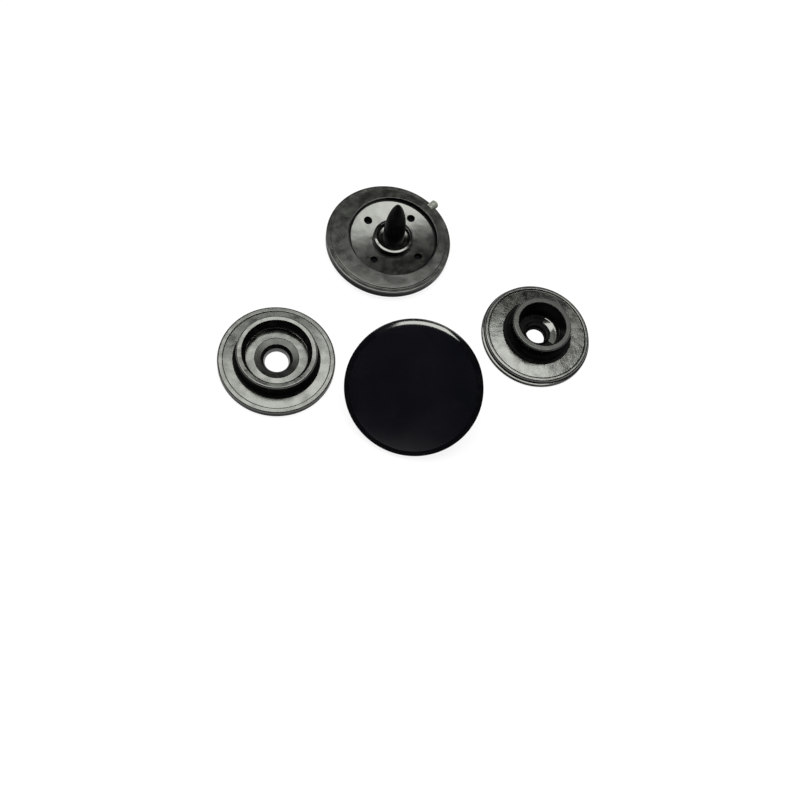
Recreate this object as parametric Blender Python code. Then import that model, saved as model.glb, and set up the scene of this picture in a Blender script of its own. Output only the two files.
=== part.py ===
"""Press snap fastener in black moulded resin, as sold: two spiked caps, a socket and a stud, lying loose.

Lengths are metres and +Z is up. Every piece is turned about its own +Z, back or face down, and is then laid
out on the table. One cap lies face up, tipped on its rim and on the point of its spike.
"""

import math

import bmesh
import bpy
from mathutils import Matrix, Vector

# Cap: disc and rim
CAP_RADIUS = 0.0062
CAP_EDGE_HEIGHT = 0.00128
FACE_DOME_RADIUS = 0.075
FACE_EDGE_ROUND = 0.00042
RIM_ROUND = 0.0001
RIM_SLOPE_WIDTH = 0.0004
RIM_SLOPE_RISE = 0.00008

# Cap: moulded back, which sits a little off the rim's centre
CORE_SHIFT = 0.00053
RING_NARROWEST = 0.00032
LAND_WIDTH = 0.00044
LAND_RISE = 0.00012
RECESS_RADIUS = CAP_RADIUS - RIM_ROUND - RIM_SLOPE_WIDTH - RING_NARROWEST - CORE_SHIFT - LAND_WIDTH
RECESS_DEPTH = 0.00066
RECESS_DISH = 0.00025
RECESS_LIP = 0.00008
SPIKE_RADIUS = 0.00108
SPIKE_LENGTH = 0.0052
SPIKE_FULLNESS = 2.5
SPIKE_TAPER = 0.8
COLLAR_WIDTH = 0.00088
COLLAR_RADIUS = SPIKE_RADIUS + COLLAR_WIDTH
COLLAR_DROP = 0.00007
COLLAR_RIM = 0.00014
COLLAR_DISH = 0.00028

# Cap: core pin holes in the recess, and the stub of the gate
PIN_HOLES = 4
PIN_HOLE_RADIUS = 0.00037
PIN_PLACE = 0.47
PIN_CIRCLE_RADIUS = COLLAR_RADIUS + PIN_PLACE * (RECESS_RADIUS - COLLAR_RADIUS)
PIN_HOLE_DEPTH = 0.0004
PIN_BEARING = math.radians(25)
GATE_BEARING = math.radians(14)
GATE_RADIUS = 0.00042
GATE_REACH = 0.0006
GATE_BITE = 0.0005
GATE_DROP = 0.00022
GATE_ROUND = 0.00012

# Stud
STUD_RADIUS = 0.00538
STUD_LAND_HEIGHT = 0.00088
STUD_BEAD_HEIGHT = 0.00016
STUD_BEAD_WIDTH = 0.00063
STUD_PARTING_HEIGHT = 0.0005
STUD_PARTING_STEP = 0.00017
STUD_LIP_RADIUS = 0.00286
STUD_LIP_ROUND = 0.0002
STUD_UNDERCUT = 0.00024
STUD_NECK_RADIUS = STUD_LIP_RADIUS - STUD_UNDERCUT
STUD_FOOT_FLARE = 0.0008
STUD_HEIGHT = 0.00288
STUD_LIP_WALL = 0.00058
STUD_MOUTH_RADIUS = STUD_LIP_RADIUS - STUD_LIP_WALL
STUD_MOUTH_ROUND = 0.0001
STUD_WELL_TAPER = 0.00023
STUD_WELL_RADIUS = STUD_MOUTH_RADIUS - STUD_WELL_TAPER
STUD_WELL_CORNER = 0.0006
STUD_HOLE_CLEARANCE = 0.00001
STUD_HOLE_DRAFT = 0.00003
STUD_CRATER_HEIGHT = 0.00105
STUD_CRATER_WIDTH = 0.00022
STUD_CRATER_RISE = 0.00014

# Socket
SOCKET_RADIUS = 0.00542
SOCKET_LAND_HEIGHT = 0.00074
SOCKET_BEAD_HEIGHT = 0.00013
SOCKET_BEAD_WIDTH = 0.00052
SNAP_BITE = 0.00004
SNAP_DEPTH = 0.0008
SNAP_ROUND = 0.00014
SNAP_BEAD_RADIUS = STUD_LIP_RADIUS - SNAP_BITE
SOCKET_RIM_INSET = 0.00036
SOCKET_RIM_WALL = 0.0005
SOCKET_CUP_RADIUS = SNAP_BEAD_RADIUS + SOCKET_RIM_INSET + SOCKET_RIM_WALL
SOCKET_CUP_DRAFT = 0.00008
SOCKET_FOOT_FILLET = 0.0003
SOCKET_HEIGHT = 0.00246
SNAP_UNDERCUT = 0.00026
SOCKET_FLOOR = 0.00103
SOCKET_CORNER = 0.00015
DISH_CLEARANCE = 0.00031
DISH_RADIUS = STUD_MOUTH_RADIUS - DISH_CLEARANCE
DISH_DEPTH = 0.00019
SOCKET_HOLE_CLEARANCE = 0.00002
THROAT_HEIGHT = 0.0003
THROAT_WIDENING = 0.00012
COUNTERSINK_WIDENING = 0.00025

# Fabric gripped between a cap and a socket or stud
FABRIC = 0.0008

# Edges shared by the stud and the socket
BACK_ROUND = 0.00015
BEAD_ROUND = 0.0002
BEAD_SLOPE = 0.00006
HOLE_CHAMFER = 0.00009

# Layout on the table: each piece stands a gap away from the tipped cap, on a bearing from it
TIPPED_CAP_BEARING = math.radians(72)
SPIKE_UP_BEARING = math.radians(96.8)
SPIKE_UP_GAP = 0.00478
SPIKE_UP_TURN = math.radians(29)
STUD_BEARING = math.radians(31.5)
STUD_GAP = 0.00322
SOCKET_BEARING = math.radians(164.6)
SOCKET_GAP = 0.00115

# Fineness of the round forms
AROUND = 44
HOLE_SIDES = 14
SPIKE_STEPS = 7
FACE_STEPS = 3
DISH_STEPS = 3
EDGE_STEPS = 4
SMALL_STEPS = 2
FLARE_STEPS = 5
CUP_RIM_STEPS = 6
WELD = 1e-7
SHARP_ANGLE = math.radians(34)

# Directions round a section, counted from straight outwards
UP = math.pi / 2
UP_AND_IN = 0.75 * math.pi
IN = math.pi
DOWN_AND_IN = 1.25 * math.pi
DOWN = -math.pi / 2
DOWN_AND_OUT = -0.25 * math.pi
OUT = 0.0


def arc(centre, radius, start, end, steps):
    """Points of a round stretch of a section, both ends included."""
    angles = [start + (end - start) * step / steps for step in range(steps + 1)]
    return [(centre[0] + radius * math.cos(angle), centre[1] + radius * math.sin(angle)) for angle in angles]


def spin_section(bm, section, closed=False, axis_x=0.0):
    """Turns a section of (radius, height) points about a vertical axis."""
    points = [bm.verts.new((axis_x + radius, 0, height)) for radius, height in section]
    edges = [bm.edges.new(pair) for pair in zip(points, points[1:])]
    if closed:
        edges.append(bm.edges.new((points[-1], points[0])))
    bmesh.ops.spin(
        bm,
        geom=points + edges,
        cent=(axis_x, 0, 0),
        axis=(0, 0, 1),
        angle=math.tau,
        steps=AROUND,
        use_merge=True,
    )


def finish_object(bm, name, material):
    """Closes the mesh, turns its faces outwards and makes it an object."""
    bmesh.ops.remove_doubles(bm, verts=bm.verts, dist=WELD)
    bmesh.ops.recalc_face_normals(bm, faces=bm.faces)
    mesh = bpy.data.meshes.new(name)
    bm.to_mesh(mesh)
    bm.free()
    mesh.shade_smooth()
    mesh.set_sharp_from_angle(angle=SHARP_ANGLE)
    mesh.materials.append(material)
    piece = bpy.data.objects.new(name, mesh)
    bpy.context.collection.objects.link(piece)
    return piece


def make_material(name, colour, roughness):
    """A moulded resin finish."""
    material = bpy.data.materials.new(name)
    material.use_nodes = True
    shader = material.node_tree.nodes["Principled BSDF"]
    shader.inputs["Base Color"].default_value = (*colour, 1)
    shader.inputs["Roughness"].default_value = roughness
    shader.inputs["Metallic"].default_value = 0
    return material


def land_height():
    """Height of the flat land round the cap's recess, above the crown of the face."""
    return CAP_EDGE_HEIGHT + LAND_RISE


def recess_floor(radius=COLLAR_RADIUS):
    """Height of the recess floor above the crown of the face. It is dished, like the face below it."""
    share = (radius**2 - COLLAR_RADIUS**2) / (RECESS_RADIUS**2 - COLLAR_RADIUS**2)
    return land_height() - RECESS_DEPTH + RECESS_DISH * share


def spike_tip():
    """Height of the spike's point above the crown of the face."""
    return CAP_EDGE_HEIGHT + SPIKE_LENGTH


def face_section():
    """Section of the cap from the crown of its domed face, round the edge and up to the slope of the rim."""
    edge_radius = CAP_RADIUS - FACE_EDGE_ROUND
    reach = FACE_DOME_RADIUS - FACE_EDGE_ROUND
    edge_height = FACE_DOME_RADIUS - math.sqrt(reach**2 - edge_radius**2)
    meeting = math.atan2(edge_radius, FACE_DOME_RADIUS - edge_height) + DOWN
    face = arc((0, FACE_DOME_RADIUS), FACE_DOME_RADIUS, DOWN, meeting, FACE_STEPS)
    edge = arc((edge_radius, edge_height), FACE_EDGE_ROUND, meeting, OUT, EDGE_STEPS)
    rim = arc((CAP_RADIUS - RIM_ROUND, CAP_EDGE_HEIGHT - RIM_ROUND), RIM_ROUND, OUT, UP, SMALL_STEPS)
    slope_end = (CAP_RADIUS - RIM_ROUND - RIM_SLOPE_WIDTH, CAP_EDGE_HEIGHT + RIM_SLOPE_RISE)
    return face + edge[1:] + rim + [slope_end]


def spike_foot():
    """Height of the spike's foot in the dish of the collar, above the crown of the face."""
    return land_height() - COLLAR_DROP - COLLAR_DISH


def spike_radius(height):
    """Radius of the spike at a height above the crown of the face: a full ogive."""
    share = (height - spike_foot()) / (spike_tip() - spike_foot())
    return SPIKE_RADIUS * (1 - share**SPIKE_FULLNESS) ** SPIKE_TAPER


def spike_section():
    """Side of the spike from its foot to its point."""
    shares = [math.sin(UP * step / SPIKE_STEPS) for step in range(SPIKE_STEPS)]
    heights = [spike_foot() + share * (spike_tip() - spike_foot()) for share in shares]
    return [(spike_radius(height), height) for height in heights] + [(0, spike_tip())]


def core_section():
    """Section of the cap's back from the flat land, down the recess and over the collar to the point."""
    land = land_height()
    collar_top = land - COLLAR_DROP
    wall = [
        (RECESS_RADIUS + LAND_WIDTH, land),
        (RECESS_RADIUS + RECESS_LIP, land),
        (RECESS_RADIUS, land - RECESS_LIP),
    ]
    spread = RECESS_RADIUS - COLLAR_RADIUS
    radii = [RECESS_RADIUS - spread * step / DISH_STEPS for step in range(DISH_STEPS + 1)]
    floor = [(radius, recess_floor(radius)) for radius in radii]
    collar = [
        (COLLAR_RADIUS, collar_top - COLLAR_RIM / 2),
        (COLLAR_RADIUS - COLLAR_RIM / 2, collar_top),
        (COLLAR_RADIUS - COLLAR_RIM, collar_top),
        ((COLLAR_RADIUS + SPIKE_RADIUS) / 2, spike_foot() + COLLAR_DISH / 4),
    ]
    return wall + floor + collar + spike_section()


def open_edges(bm):
    """Edges with a face on one side only."""
    return [edge for edge in bm.edges if edge.is_boundary]


def make_cap_disc(name, material):
    """The cap spike up: its face turned about one axis, its back about the shifted one, and bridged."""
    bm = bmesh.new()
    spin_section(bm, face_section())
    spin_section(bm, core_section(), axis_x=CORE_SHIFT)
    bmesh.ops.remove_doubles(bm, verts=bm.verts, dist=WELD)
    bmesh.ops.bridge_loops(bm, edges=open_edges(bm))
    return finish_object(bm, name, material)


def add_boolean(piece, other, operation):
    """Joins another object to a piece, or cuts it away, and keeps that object as a guide."""
    boolean = piece.modifiers.new(other.name, "BOOLEAN")
    boolean.operation = operation
    boolean.solver = "EXACT"
    boolean.object = other
    other.parent = piece
    other.hide_render = True
    other.display_type = "WIRE"


def make_pin_holes(name, material):
    """Cutter for the core pin holes, which stand on a circle round the spike."""
    bm = bmesh.new()
    for index in range(PIN_HOLES):
        bearing = PIN_BEARING + math.tau * index / PIN_HOLES
        centre = Vector((CORE_SHIFT, 0, recess_floor(PIN_CIRCLE_RADIUS)))
        centre += PIN_CIRCLE_RADIUS * Vector((math.cos(bearing), math.sin(bearing), 0))
        bmesh.ops.create_cone(
            bm,
            cap_ends=True,
            segments=HOLE_SIDES,
            radius1=PIN_HOLE_RADIUS,
            radius2=PIN_HOLE_RADIUS,
            depth=2 * PIN_HOLE_DEPTH,
            matrix=Matrix.Translation(centre),
        )
    return finish_object(bm, name, material)


def make_gate_stub(name, material):
    """The stub of resin that is left on the rim where the cap was snapped off its runner."""
    bm = bmesh.new()
    length = GATE_BITE + GATE_REACH
    bmesh.ops.create_cone(
        bm,
        cap_ends=True,
        segments=HOLE_SIDES,
        radius1=GATE_RADIUS,
        radius2=GATE_RADIUS,
        depth=length,
    )
    outer_end = [edge for edge in bm.edges if all(vert.co.z > 0 for vert in edge.verts)]
    bmesh.ops.bevel(bm, geom=outer_end, offset=GATE_ROUND, segments=SMALL_STEPS, profile=0.5, affect="EDGES")
    middle = Vector((CAP_RADIUS - GATE_BITE + length / 2, 0, CAP_EDGE_HEIGHT - GATE_DROP))
    lie_down = Matrix.Rotation(math.pi / 2, 4, "Y")
    bmesh.ops.transform(bm, matrix=Matrix.Translation(middle) @ lie_down, verts=bm.verts)
    bmesh.ops.rotate(bm, verts=bm.verts, matrix=Matrix.Rotation(GATE_BEARING, 3, "Z"))
    return finish_object(bm, name, material)


def make_cap(name, material, with_gate):
    """A whole cap, spike up, with or without the stub of its gate."""
    cap = make_cap_disc(name, material)
    add_boolean(cap, make_pin_holes(name + "_pin_hole_cutter", material), "DIFFERENCE")
    if with_gate:
        add_boolean(cap, make_gate_stub(name + "_gate_stub", material), "UNION")
    return cap


def flange_section(radius, edge, bead_width, land, bead_height):
    """Lower face and edge of a flange, up over its bead and down to the land inside it."""
    crest = land + bead_height
    back = arc((radius - BACK_ROUND, BACK_ROUND), BACK_ROUND, DOWN, OUT, SMALL_STEPS)
    bead = arc((edge[-1][0] - BEAD_ROUND, crest - BEAD_ROUND), BEAD_ROUND, OUT, UP, EDGE_STEPS)
    step = [(radius - bead_width + BEAD_SLOPE, crest), (radius - bead_width, land)]
    return back + edge[1:] + bead + step


def socket_section():
    """Section of the socket: flange, cup with its snap bead, flat floor and the hole for the spike."""
    land = SOCKET_LAND_HEIGHT
    flange = flange_section(
        SOCKET_RADIUS, [(SOCKET_RADIUS, BACK_ROUND)], SOCKET_BEAD_WIDTH, land, SOCKET_BEAD_HEIGHT
    )
    foot_radius = SOCKET_CUP_RADIUS + SOCKET_CUP_DRAFT
    foot_centre = (foot_radius + SOCKET_FOOT_FILLET, land + SOCKET_FOOT_FILLET)
    foot = arc(foot_centre, SOCKET_FOOT_FILLET, DOWN, -IN, EDGE_STEPS)
    rim_round = SOCKET_RIM_WALL / 2
    rim = arc((SOCKET_CUP_RADIUS - rim_round, SOCKET_HEIGHT - rim_round), rim_round, OUT, IN, CUP_RIM_STEPS)
    bead_height = SOCKET_HEIGHT - SNAP_DEPTH
    bead = arc((SNAP_BEAD_RADIUS + SNAP_ROUND, bead_height), SNAP_ROUND, UP_AND_IN, DOWN_AND_IN, SMALL_STEPS)
    wall_radius = SNAP_BEAD_RADIUS + SNAP_UNDERCUT
    under_bead = [(wall_radius, bead_height - SNAP_UNDERCUT)]
    corner_centre = (wall_radius - SOCKET_CORNER, SOCKET_FLOOR + SOCKET_CORNER)
    corner = arc(corner_centre, SOCKET_CORNER, OUT, DOWN, SMALL_STEPS)
    return flange + foot + rim + bead + under_bead + corner + socket_hole()


def socket_hole():
    """Shallow dish, countersink and hole of the socket, which a spike enters from the back."""
    radius = spike_radius(land_height() + FABRIC) + SOCKET_HOLE_CLEARANCE
    throat_radius = radius + THROAT_WIDENING
    return [
        (DISH_RADIUS, SOCKET_FLOOR),
        (throat_radius + COUNTERSINK_WIDENING, SOCKET_FLOOR - DISH_DEPTH),
        (throat_radius, THROAT_HEIGHT),
        (radius, HOLE_CHAMFER),
        (radius + HOLE_CHAMFER, 0),
    ]


def stud_section():
    """Section of the stud: flange with its parting step, flared barrel, snap lip, well and hole."""
    land = STUD_LAND_HEIGHT
    edge = [
        (STUD_RADIUS, BACK_ROUND),
        (STUD_RADIUS, STUD_PARTING_HEIGHT),
        (STUD_RADIUS - STUD_PARTING_STEP, STUD_PARTING_HEIGHT + STUD_PARTING_STEP / 2),
    ]
    flange = flange_section(STUD_RADIUS, edge, STUD_BEAD_WIDTH, land, STUD_BEAD_HEIGHT)
    foot_centre = (STUD_NECK_RADIUS + STUD_FOOT_FLARE, land + STUD_FOOT_FLARE)
    foot = arc(foot_centre, STUD_FOOT_FLARE, DOWN, -IN, FLARE_STEPS)
    lip_centre = (STUD_LIP_RADIUS - STUD_LIP_ROUND, STUD_HEIGHT - STUD_LIP_ROUND)
    lip = arc(lip_centre, STUD_LIP_ROUND, DOWN_AND_OUT, UP, EDGE_STEPS)
    mouth_centre = (STUD_MOUTH_RADIUS + STUD_MOUTH_ROUND, STUD_HEIGHT - STUD_MOUTH_ROUND)
    mouth = arc(mouth_centre, STUD_MOUTH_ROUND, UP, IN, SMALL_STEPS)
    return flange + foot + lip + mouth + stud_well()


def stud_well():
    """Well, crater and hole of the stud, which a spike enters from the back."""
    back_radius = spike_radius(land_height() + FABRIC) + STUD_HOLE_CLEARANCE
    lip_radius = back_radius + STUD_HOLE_DRAFT
    floor = STUD_CRATER_HEIGHT - STUD_CRATER_RISE
    corner_centre = (STUD_WELL_RADIUS - STUD_WELL_CORNER, floor + STUD_WELL_CORNER)
    well = arc(corner_centre, STUD_WELL_CORNER, OUT, DOWN, EDGE_STEPS)
    crater = [
        (lip_radius + STUD_CRATER_WIDTH, floor),
        (lip_radius + STUD_CRATER_WIDTH / 3, STUD_CRATER_HEIGHT),
        (lip_radius, STUD_CRATER_HEIGHT - STUD_CRATER_RISE / 2),
    ]
    return well + crater + [(back_radius, HOLE_CHAMFER), (back_radius + HOLE_CHAMFER, 0)]


def make_ring_piece(name, section, material):
    """A piece with a hole through it, turned from a closed section."""
    bm = bmesh.new()
    spin_section(bm, section, closed=True)
    return finish_object(bm, name, material)


def lay_tipped(cap):
    """Lays a cap face up at the origin, so that its rim and the point of its spike touch the table."""
    rim = Vector((RIM_ROUND - CAP_RADIUS, CAP_EDGE_HEIGHT - RIM_ROUND))
    tip = Vector((CORE_SHIFT, spike_tip()))
    span = tip - rim
    tilt = math.atan2(span.y, span.x) - math.asin(RIM_ROUND / span.length)
    turn = Matrix.Rotation(TIPPED_CAP_BEARING, 4, "Z") @ Matrix.Rotation(-tilt, 4, "Y")
    turn = turn @ Matrix.Rotation(math.pi, 4, "X")
    middle = turn @ Vector((0, 0, CAP_EDGE_HEIGHT))
    table = tip.y * math.cos(tilt) - tip.x * math.sin(tilt)
    cap.matrix_world = Matrix.Translation((-middle.x, -middle.y, table)) @ turn


def lay_beside(piece, radius, gap, bearing, turn=0.0):
    """Lays a piece flat on the table, a gap away from the tipped cap, on a bearing from it."""
    reach = CAP_RADIUS + gap + radius
    piece.location = (reach * math.cos(bearing), reach * math.sin(bearing), 0)
    piece.rotation_euler = (0, 0, turn)


def centre_set(pieces):
    """Hangs the pieces on one empty and puts the middle of their plan at the origin."""
    bpy.context.view_layer.update()
    corners = [piece.matrix_world @ vert.co for piece in pieces for vert in piece.data.vertices]
    middle_x = (min(point.x for point in corners) + max(point.x for point in corners)) / 2
    middle_y = (min(point.y for point in corners) + max(point.y for point in corners)) / 2
    snap = bpy.data.objects.new("snap_fastener", None)
    bpy.context.collection.objects.link(snap)
    for piece in pieces:
        piece.parent = snap
    snap.location = (-middle_x, -middle_y, 0)


def clear_scene():
    """Removes whatever the scene holds."""
    for old in list(bpy.data.objects):
        bpy.data.objects.remove(old, do_unlink=True)


def main():
    """Makes the four pieces and lays them out."""
    clear_scene()
    gloss = make_material("gloss_black_resin", (0.012, 0.012, 0.016), 0.16)
    satin = make_material("satin_black_resin", (0.02, 0.021, 0.02), 0.28)
    cap_face_up = make_cap("cap_face_up", gloss, with_gate=False)
    cap_spike_up = make_cap("cap_spike_up", satin, with_gate=True)
    stud = make_ring_piece("stud", stud_section(), satin)
    socket = make_ring_piece("socket", socket_section(), satin)
    lay_tipped(cap_face_up)
    lay_beside(cap_spike_up, CAP_RADIUS, SPIKE_UP_GAP, SPIKE_UP_BEARING, SPIKE_UP_TURN)
    lay_beside(stud, STUD_RADIUS, STUD_GAP, STUD_BEARING)
    lay_beside(socket, SOCKET_RADIUS, SOCKET_GAP, SOCKET_BEARING)
    centre_set([cap_face_up, cap_spike_up, stud, socket])


main()
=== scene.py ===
"""Looks of a press snap fastener in black moulded resin: two spiked caps, a socket and a stud, lying loose.

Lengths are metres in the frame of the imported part, +Z up from the table. Each piece is turned about its own
+Z as it left the mould, back or face down, and is then laid in its place.
"""

import logging
import math
import random
from dataclasses import dataclass, field, replace
from enum import Enum

import bmesh
import bpy
import numpy as np
from mathutils import Matrix, Quaternion, Vector


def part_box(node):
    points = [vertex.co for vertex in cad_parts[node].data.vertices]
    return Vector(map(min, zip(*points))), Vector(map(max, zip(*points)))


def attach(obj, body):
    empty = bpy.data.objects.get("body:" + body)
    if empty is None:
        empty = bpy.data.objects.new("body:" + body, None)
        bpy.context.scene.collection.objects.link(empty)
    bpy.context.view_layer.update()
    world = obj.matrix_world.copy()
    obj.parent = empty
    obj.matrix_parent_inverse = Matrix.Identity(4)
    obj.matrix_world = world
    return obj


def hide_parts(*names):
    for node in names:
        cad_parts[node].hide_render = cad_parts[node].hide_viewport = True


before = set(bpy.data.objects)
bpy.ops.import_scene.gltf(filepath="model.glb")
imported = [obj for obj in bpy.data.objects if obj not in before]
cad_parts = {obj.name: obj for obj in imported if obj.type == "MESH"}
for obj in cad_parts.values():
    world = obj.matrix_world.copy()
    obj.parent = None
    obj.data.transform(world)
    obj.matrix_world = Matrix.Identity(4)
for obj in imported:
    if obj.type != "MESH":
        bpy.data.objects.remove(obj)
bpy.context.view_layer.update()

LOG = logging.getLogger("snap_fastener")
Wire = bpy.types.NodeSocket  # an input or output of a node
Colour = tuple[float, float, float]  # linear red, green and blue
Row = tuple[float, float, float, "Skin"]  # radius, height, shift and finish of a row
MM = 0.001
MICRON = 0.000001

NOISE_RANGE = (0.38, 0.68)  # the middle of a noise, which is stretched over a finish's range
FEW = -2.4  # low end of the smudges' cover: so far below 0 that only the peaks of the noise smudge
HALF_STRETCH = 0.49  # most of a stretch that a fillet takes where the other end is rounded too
WHOLE_STRETCH = 0.98  # the same where the other end is sharp
LEAST_TURN = math.radians(1)  # a flatter corner isn't rounded
MERGE = 0.2 * MICRON  # points closer than this are one
SHARP = math.radians(50)  # edges that turn more than this stay sharp where a tool cut
FACE_STEPS = 28
EDGE_STEPS = 18
FLOOR_STEPS = 12
FLARE_STEPS = 12
SPIKE_STEPS = 44
BACK_ROUND = 0.15 * MM  # rounding of a flange's lower edge
BEAD_ROUND = 0.18 * MM  # rounding of a bead's outer edge
HOLE_CHAMFER = 0.09 * MM  # how much a hole widens at the back
KEEN, CRISP, FINE, SOFT = 0.01 * MM, 0.03 * MM, 0.04 * MM, 0.05 * MM  # roundings of small corners


class Skin(Enum):
    """Finishes that the stretches of a moulding are given, in the order of its material slots; some of them
    also carry painted shade or painted light.
    """

    POLISHED = 0
    SATIN = 1
    TEXTURED = 2
    # Painted shade: a darker, nearly matte resin for walls, hole sides, the spike and the foot of recess
    # walls, where shade falls
    WALL = 3
    # Painted shade: a dark, dull resin for the insides of the pin holes and most of the glossy cap's soft
    # edge
    DULL_SHADE = 4
    # Partly real, partly painted light: pale stress-whitened resin at the gate's broken end, also laid on the
    # stub's lit side
    PALE = 5
    MATTE = 6


class Slot(Enum):
    """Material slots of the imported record."""

    GLOSS = "gloss_black_resin"
    SATIN = "satin_black_resin"


def ease(low: float, high: float, value: np.ndarray) -> np.ndarray:
    """Smooth step of the values, from 0 at low to 1 at high."""
    share = np.clip((value - low) / (high - low), 0.0, 1.0)
    return share * share * (3.0 - 2.0 * share)


def wander(bearing: np.ndarray, seed: int, waves: int) -> np.ndarray:
    """An uneven line round a full turn, such as the edge of a burr.

    Args:
        bearing: Angles round the axis, in radians.
        seed: Picks the line.
        waves: Number of waves that are added up; more of them make it rougher.

    Returns:
        Values of about -1 to 1.
    """
    draw = random.Random(seed)
    total = np.zeros_like(bearing)
    for wave in range(1, waves + 1):
        swing = draw.uniform(0.4, 1.0)
        start = draw.uniform(0.0, math.tau)
        total += swing * np.cos(wave * bearing + start) / math.sqrt(wave)
    return total / math.sqrt(waves)


@dataclass(frozen=True)
class Tree:
    """A node tree that is being filled."""

    tree: bpy.types.NodeTree  # the tree of a material or of the world

    def fill(self, node: bpy.types.Node, inputs: dict[str | int, object]) -> None:
        """Links or sets inputs of a node.

        Args:
            node: The node.
            inputs: For each input, a socket to link to it or a constant.
        """
        for name, value in inputs.items():
            if isinstance(value, Wire):
                self.tree.links.new(value, node.inputs[name])
            else:
                node.inputs[name].default_value = value

    def add(self, kind: str, inputs: dict[str | int, object], **settings: object) -> bpy.types.Node:
        """Adds a node.

        Args:
            kind: Type of the node.
            inputs: For each input, a socket to link to it or a constant.
            settings: Properties of the node.

        Returns:
            The node.
        """
        node = self.tree.nodes.new(kind)
        for name, value in settings.items():
            setattr(node, name, value)
        self.fill(node, inputs)
        return node

    def noise(self, place: Wire, size: float, detail: float) -> Wire:
        """A noise whose blots are about as large as the size.

        Args:
            place: Coordinates, in metres.
            size: Size of the blots, in metres.
            detail: Octaves of finer noise in it.

        Returns:
            The noise's value.
        """
        scaled = self.add("ShaderNodeVectorMath", {0: place, "Scale": 1.0 / size}, operation="SCALE")
        inputs = {"Vector": scaled.outputs["Vector"], "Scale": 1.0, "Detail": detail}
        return self.add("ShaderNodeTexNoise", inputs).outputs["Fac"]

    def spread(self, value: Wire, low: float, high: float) -> Wire:
        """Stretches the middle of a noise over the range from low to high."""
        ends = {"From Min": NOISE_RANGE[0], "From Max": NOISE_RANGE[1], "To Min": low, "To Max": high}
        return self.add("ShaderNodeMapRange", {"Value": value, **ends}).outputs["Result"]

    def tint(self, under: Wire | Colour, colour: Colour, cover: Wire) -> Wire:
        """Lays a colour over another.

        Args:
            under: Colour below.
            colour: Colour on top.
            cover: How much of it covers, 0 to 1.

        Returns:
            The mixed colour.
        """
        below = under if isinstance(under, Wire) else (*under, 1.0)
        inputs = {"A": below, "B": (*colour, 1.0), "Factor": cover}
        return self.add("ShaderNodeMix", inputs, data_type="RGBA").outputs["Result"]

    def seen(self, shown: bpy.types.Node, hidden: bpy.types.Node) -> Wire:
        """Shows one shader to camera, glossy and transmission rays and another to the rest.

        Args:
            shown: Shader for those three kinds of ray.
            hidden: Shader for the rest.

        Returns:
            The mixed shader.
        """
        path = self.add("ShaderNodeLightPath", {}).outputs
        total = path["Is Camera Ray"]
        for kind in ("Is Glossy Ray", "Is Transmission Ray"):
            both = {0: total, 1: path[kind]}
            total = self.add("ShaderNodeMath", both, operation="ADD", use_clamp=True).outputs[0]
        inputs = {"Fac": total, 1: hidden.outputs[0], 2: shown.outputs[0]}
        return self.add("ShaderNodeMixShader", inputs).outputs[0]


@dataclass(frozen=True)
class Resin:
    """A finish of the black resin, with the marks that the mould leaves on it."""

    name: str
    colour: Colour  # colour of the resin, as linear red, green and blue
    haze: Colour  # colour of its worn or dusty patches
    smudge: Colour  # colour of the few faint smudges on it
    smudge_size: float
    roughness: float  # roughness of the clean surface
    patchiness: float  # how much rougher the patches are
    patch_size: float
    grain_size: float
    grain_depth: float
    flow_depth: float  # depth of the soft waves that the flow of the resin leaves, in metres
    gloss: float  # specular level

    def material(self) -> bpy.types.Material:
        """Builds the material.

        Returns:
            A node material whose detail follows the object's own coordinates.
        """
        made = bpy.data.materials.new(self.name)
        made.use_nodes = True
        tree = Tree(made.node_tree)
        place = tree.add("ShaderNodeTexCoord", {}).outputs["Object"]
        patches = tree.noise(place, self.patch_size, detail=4.0)
        blots = tree.noise(place, self.smudge_size, detail=2.0)
        grain = tree.noise(place, self.grain_size, detail=3.0)
        flow = tree.noise(place, self.patch_size, detail=1.0)
        hazy = tree.tint(self.colour, self.haze, tree.spread(patches, 0.0, 1.0))
        soft = tree.add("ShaderNodeBump", {"Strength": 1.0, "Distance": self.flow_depth, "Height": flow})
        fine = {"Strength": 1.0, "Distance": self.grain_depth, "Height": grain}
        fine["Normal"] = soft.outputs["Normal"]
        finish = {
            "Specular IOR Level": self.gloss,
            "Base Color": tree.tint(hazy, self.smudge, tree.spread(blots, FEW, 1.0)),
            "Roughness": tree.spread(patches, self.roughness, self.roughness + self.patchiness),
            "Normal": tree.add("ShaderNodeBump", fine).outputs["Normal"],
        }
        tree.fill(made.node_tree.nodes["Principled BSDF"], finish)
        return made


GLOSS_FACE = Resin(
    name="gloss_face", colour=(0.0034, 0.0038, 0.0066), haze=(0.0056, 0.0052, 0.0084),
    smudge=(0.0062, 0.0064, 0.0088), smudge_size=2.6 * MM, roughness=0.1, patchiness=0.06,
    patch_size=4.0 * MM, grain_size=0.3 * MM, grain_depth=0.25 * MICRON, flow_depth=2.0 * MICRON,
    gloss=1.0,
)
POLISHED = Resin(
    name="polished_resin", colour=(0.0030, 0.0032, 0.0032), haze=(0.0100, 0.0106, 0.0094),
    smudge=(0.018, 0.019, 0.017), smudge_size=0.7 * MM, roughness=0.12, patchiness=0.08,
    patch_size=1.1 * MM, grain_size=0.16 * MM, grain_depth=0.9 * MICRON, flow_depth=7.0 * MICRON,
    gloss=1.0,
)
SATIN = Resin(
    name="satin_resin", colour=(0.0038, 0.0042, 0.0038), haze=(0.0125, 0.0136, 0.0115),
    smudge=(0.024, 0.026, 0.022), smudge_size=0.8 * MM, roughness=0.17, patchiness=0.06,
    patch_size=1.1 * MM, grain_size=0.14 * MM, grain_depth=0.7 * MICRON, flow_depth=14.0 * MICRON,
    gloss=1.0,
)
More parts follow.
